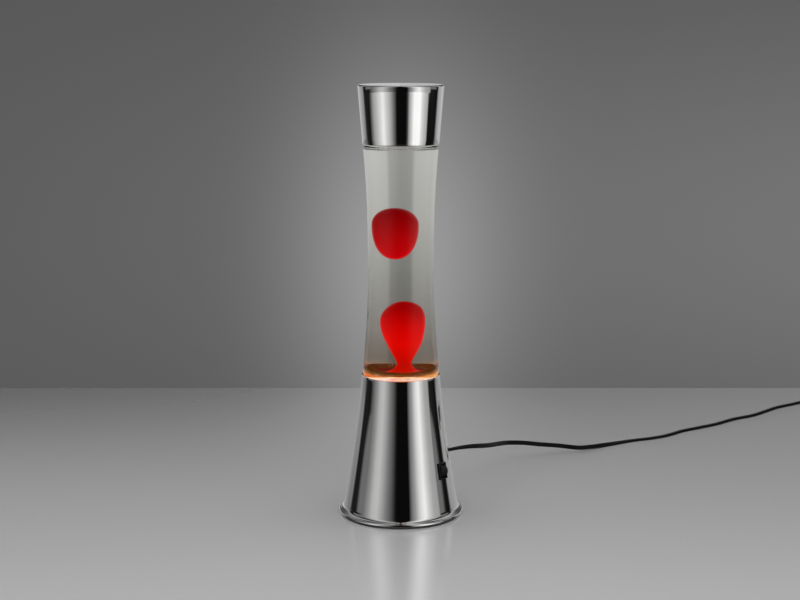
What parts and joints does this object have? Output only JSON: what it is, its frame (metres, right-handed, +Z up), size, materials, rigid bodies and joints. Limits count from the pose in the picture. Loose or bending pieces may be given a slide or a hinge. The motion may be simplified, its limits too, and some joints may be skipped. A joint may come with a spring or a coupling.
{
  "type": "lava lamp",
  "caption": "Chromed lava lamp: flared base, waisted clear bottle with red wax, tapering cap, rocker switch and mains lead with plug.",
  "frame": {"origin": "centre of the lamp's footprint, on the surface that it stands on", "axes": "+Z up the lamp's axis, -Y towards the front, +X towards the right, where the switch and the lead are"},
  "size_m": [0.641, 0.4967, 0.395],
  "materials": {
    "chrome": "polished",
    "zinc_steel": "satin",
    "black_steel": "satin",
    "brass": "satin",
    "clear_glass": "polished",
    "frosted_glass": "frosted",
    "clear_liquid": "clear",
    "red_wax": "soft gloss",
    "white_holder": "matt",
    "black_plastic": "satin",
    "black_lead": "satin",
    "white_plastic": "satin",
    "soft_rubber": "matt",
    "white_silicone": "matt",
    "brown_wire": "satin",
    "blue_wire": "satin"
  },
  "bodies": {
    "base": {"base_shell": "chrome", "globe_seat": "zinc_steel", "seat_gasket": "white_silicone", "base_plate": "black_steel", "plate_brackets": "zinc_steel", "plate_screws": "zinc_steel", "rubber_feet": "soft_rubber", "holder_bracket": "zinc_steel", "bracket_screws": "zinc_steel", "holder_body": "white_holder", "holder_sleeve": "brass", "holder_contact": "brass", "holder_nipple": "zinc_steel", "holder_nut": "zinc_steel", "holder_screws": "zinc_steel", "switch_body": "black_plastic", "switch_terminals": "brass", "terminal_sleeves": "brass", "cord_grommet": "soft_rubber", "cord_clamp": "white_plastic", "clamp_screws": "zinc_steel", "cord_inner": "black_lead", "lead_live": "brown_wire", "lead_neutral": "blue_wire", "lead_switched": "brown_wire", "cord_run": "black_lead", "cord_coil": "black_lead", "cord_tail": "black_lead", "cord_tie": "black_plastic", "plug_body": "black_lead", "plug_pins": "brass"},
    "rocker": {"switch_rocker": "black_plastic"},
    "bulb_carrier": {"bulb_tip": "brass"},
    "bulb": {"bulb_glass": "frosted_glass", "bulb_base": "zinc_steel", "bulb_filament": "zinc_steel"},
    "globe": {"bottle_glass": "clear_glass", "liquid": "clear_liquid", "wax_column": "red_wax", "heating_coil": "brass", "crown_cap": "zinc_steel", "crown_liner": "white_plastic"},
    "wax_ball": {"wax_ball": "red_wax"},
    "cap": {"top_cap": "chrome"}
  },
  "joints": [
    {"name": "globe_lift", "type": "slide", "parent": "base", "child": "globe", "axis": [0, 0, 1], "range_m": [0, 0.1]},
    {"name": "cap_lift", "type": "slide", "parent": "globe", "child": "cap", "axis": [0, 0, 1], "range_m": [0, 0.07]},
    {"name": "wax_ball_rise", "type": "slide", "parent": "globe", "child": "wax_ball", "axis": [0, 0, 1], "range_m": [-0.034, 0.044], "deforming": ["liquid"]},
    {"name": "bulb_turn", "type": "hinge", "parent": "bulb_carrier", "child": "bulb", "pos_m": [0, 0, 0.0445], "axis": [0, 0, 1], "range_deg": [0, 1260]},
    {"name": "bulb_rise", "type": "slide", "parent": "base", "child": "bulb_carrier", "axis": [0, 0, 1], "range_m": [0, 0.00987]},
    {"name": "rocker_tilt", "type": "hinge", "parent": "base", "child": "rocker", "pos_m": [0.0358, -0.02554, 0.0456], "axis": [0.5807, 0.8141, 0], "range_deg": [0, 24]}
  ],
  "couplings": [
    {"joint": "bulb_rise", "follows": "bulb_turn", "m_per_rad": 0.00044881}
  ]
}
